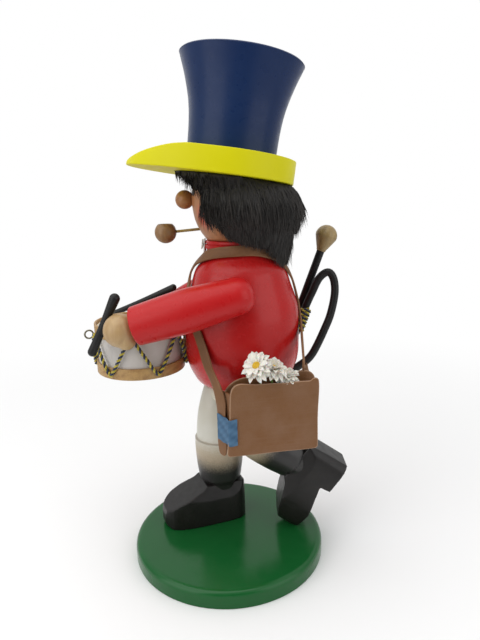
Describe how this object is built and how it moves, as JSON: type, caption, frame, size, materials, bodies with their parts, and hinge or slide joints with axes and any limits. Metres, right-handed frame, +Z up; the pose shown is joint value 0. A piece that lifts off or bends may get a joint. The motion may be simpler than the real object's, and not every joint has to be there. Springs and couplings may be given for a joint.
{
  "type": "incense smoker figure",
  "caption": "Turned wooden incense smoker: a striding drummer in red coat and tall hat on a round base; the coat lifts off the legs, so that a cone can burn inside and smoke leaves the mouth",
  "frame": {"origin": "middle of the round base's underside", "axes": "+Z up; the figure faces -Y; its left hand is on the +X side"},
  "size_m": [0.127, 0.1636, 0.3148],
  "materials": {
    "base_paint": "green gloss paint on beech",
    "dowel_wood": "bare beech",
    "boot_paint": "black satin paint",
    "leg_paint": "white paint, sprayed black round the boot shaft",
    "hip_paint": "white paint",
    "plate_brass": "pressed sheet",
    "nail_steel": "plain wire",
    "coat_paint": "red gloss paint",
    "white_paint": "white paint",
    "hand_wood": "clear lacquer on beech",
    "stick_paint": "black paint",
    "drum_paint": "white paint",
    "hoop_wood": "clear lacquer",
    "cord": "two-ply twisted cord, yellow and dark blue",
    "face_wood": "clear lacquer, rouged cheek",
    "nose_wood": "red-brown lacquer",
    "eye_paint": "black dot",
    "hair_fur": "dark brown fur",
    "pipe_wood": "dark lacquer",
    "stem_wood": "bare wood",
    "brim_paint": "yellow gloss paint",
    "crown_paint": "dark blue gloss paint",
    "strap_leather": "brown leather strip",
    "bag_leather": "brown leather",
    "band_fabric": "blue band",
    "petal_fabric": "white artificial petals",
    "centre_fabric": "yellow flock",
    "stem_plastic": "green covered wire",
    "knob_wood": "clear lacquer"
  },
  "bodies": {
    "stand": {"base_disc": "base_paint", "base_pins": "dowel_wood", "right_boot": "boot_paint", "left_boot": "boot_paint", "ankle_dowels": "dowel_wood", "right_leg": "leg_paint", "left_leg": "leg_paint", "hip_dowels": "dowel_wood", "hip_block": "hip_paint", "smoking_plate": "plate_brass", "plate_nail": "nail_steel"},
    "coat": {"coat": "coat_paint", "collar": "coat_paint", "jabot": "white_paint", "left_sleeve": "coat_paint", "right_sleeve": "coat_paint", "shoulder_dowels": "dowel_wood", "left_hand": "hand_wood", "right_hand": "hand_wood", "wrist_dowels": "dowel_wood", "left_drumstick": "stick_paint", "right_drumstick": "stick_paint", "drum_shell": "drum_paint", "upper_hoop": "hoop_wood", "lower_hoop": "hoop_wood", "drum_skins": "drum_paint", "drum_cord": "cord", "drum_peg": "dowel_wood", "screw_eye": "nail_steel", "head": "face_wood", "nose": "nose_wood", "eyes": "eye_paint", "hair": "hair_fur", "pipe_bowl": "pipe_wood", "pipe_stem": "stem_wood", "hat_brim": "brim_paint", "hat_crown": "crown_paint", "hat_dowel": "dowel_wood", "strap": "strap_leather", "bag_front": "bag_leather", "bag_back": "bag_leather", "bag_gusset": "bag_leather", "blue_band": "band_fabric", "daisy_petals": "petal_fabric", "daisy_centres": "centre_fabric", "flower_stems": "stem_plastic", "back_staff": "stick_paint", "staff_knob": "knob_wood", "bent_cane": "stick_paint", "binding_cord": "cord", "bundle_peg": "dowel_wood"}
  },
  "joints": [
    {"name": "coat_lift", "type": "slide", "parent": "stand", "child": "coat", "axis": [0, 0, 1], "range_m": [0, 0.075]}
  ]
}
